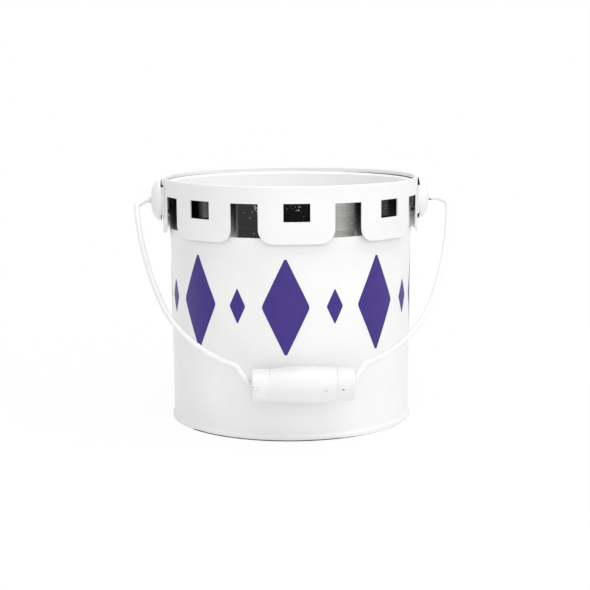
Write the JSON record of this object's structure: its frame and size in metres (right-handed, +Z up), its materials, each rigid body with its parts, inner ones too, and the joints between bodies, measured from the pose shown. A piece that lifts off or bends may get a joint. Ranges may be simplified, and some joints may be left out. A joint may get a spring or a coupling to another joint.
{
  "type": "paint can",
  "caption": "Round tin can with a rolled base seam, a castellated guard collar with square windows, domed ears and a swinging wire bail with a turning grip.",
  "frame": {"origin": "centre of the base seam's flat underside, on the floor", "axes": "+Z up along the can's axis, +X to the right ear along the bail's pivot axis, -Y to the front, where the bail rests"},
  "size_m": [0.218, 0.1944, 0.1662],
  "materials": {
    "can_paint": "satin white paint on tinned steel, bare and bright round the neck",
    "collar_paint": "satin white paint on pressed steel sheet",
    "wire_paint": "satin white paint on steel wire",
    "grip_paint": "white, painted over, with a few chips",
    "rivet_steel": "plain steel",
    "seam_compound": "matt sealing compound"
  },
  "bodies": {
    "can": {"can_body": "can_paint", "can_bottom": "can_paint", "bottom_seam_compound": "seam_compound", "collar_band": "collar_paint", "left_ear": "collar_paint", "right_ear": "collar_paint", "left_rivets": "rivet_steel", "right_rivets": "rivet_steel", "left_spacers": "rivet_steel", "right_spacers": "rivet_steel"},
    "bail": {"bail_wire": "wire_paint"},
    "handle_grip": {"grip": "grip_paint"}
  },
  "joints": [
    {"name": "bail_swing", "type": "hinge", "parent": "can", "child": "bail", "pos_m": [0, 0, 0.15046], "axis": [-1, 0, 0], "range_deg": [0, 278.4]},
    {"name": "grip_spin", "type": "hinge", "parent": "bail", "child": "handle_grip", "pos_m": [0.003, -0.0949, 0.04043], "axis": [1, 0, 0], "continuous": true}
  ]
}
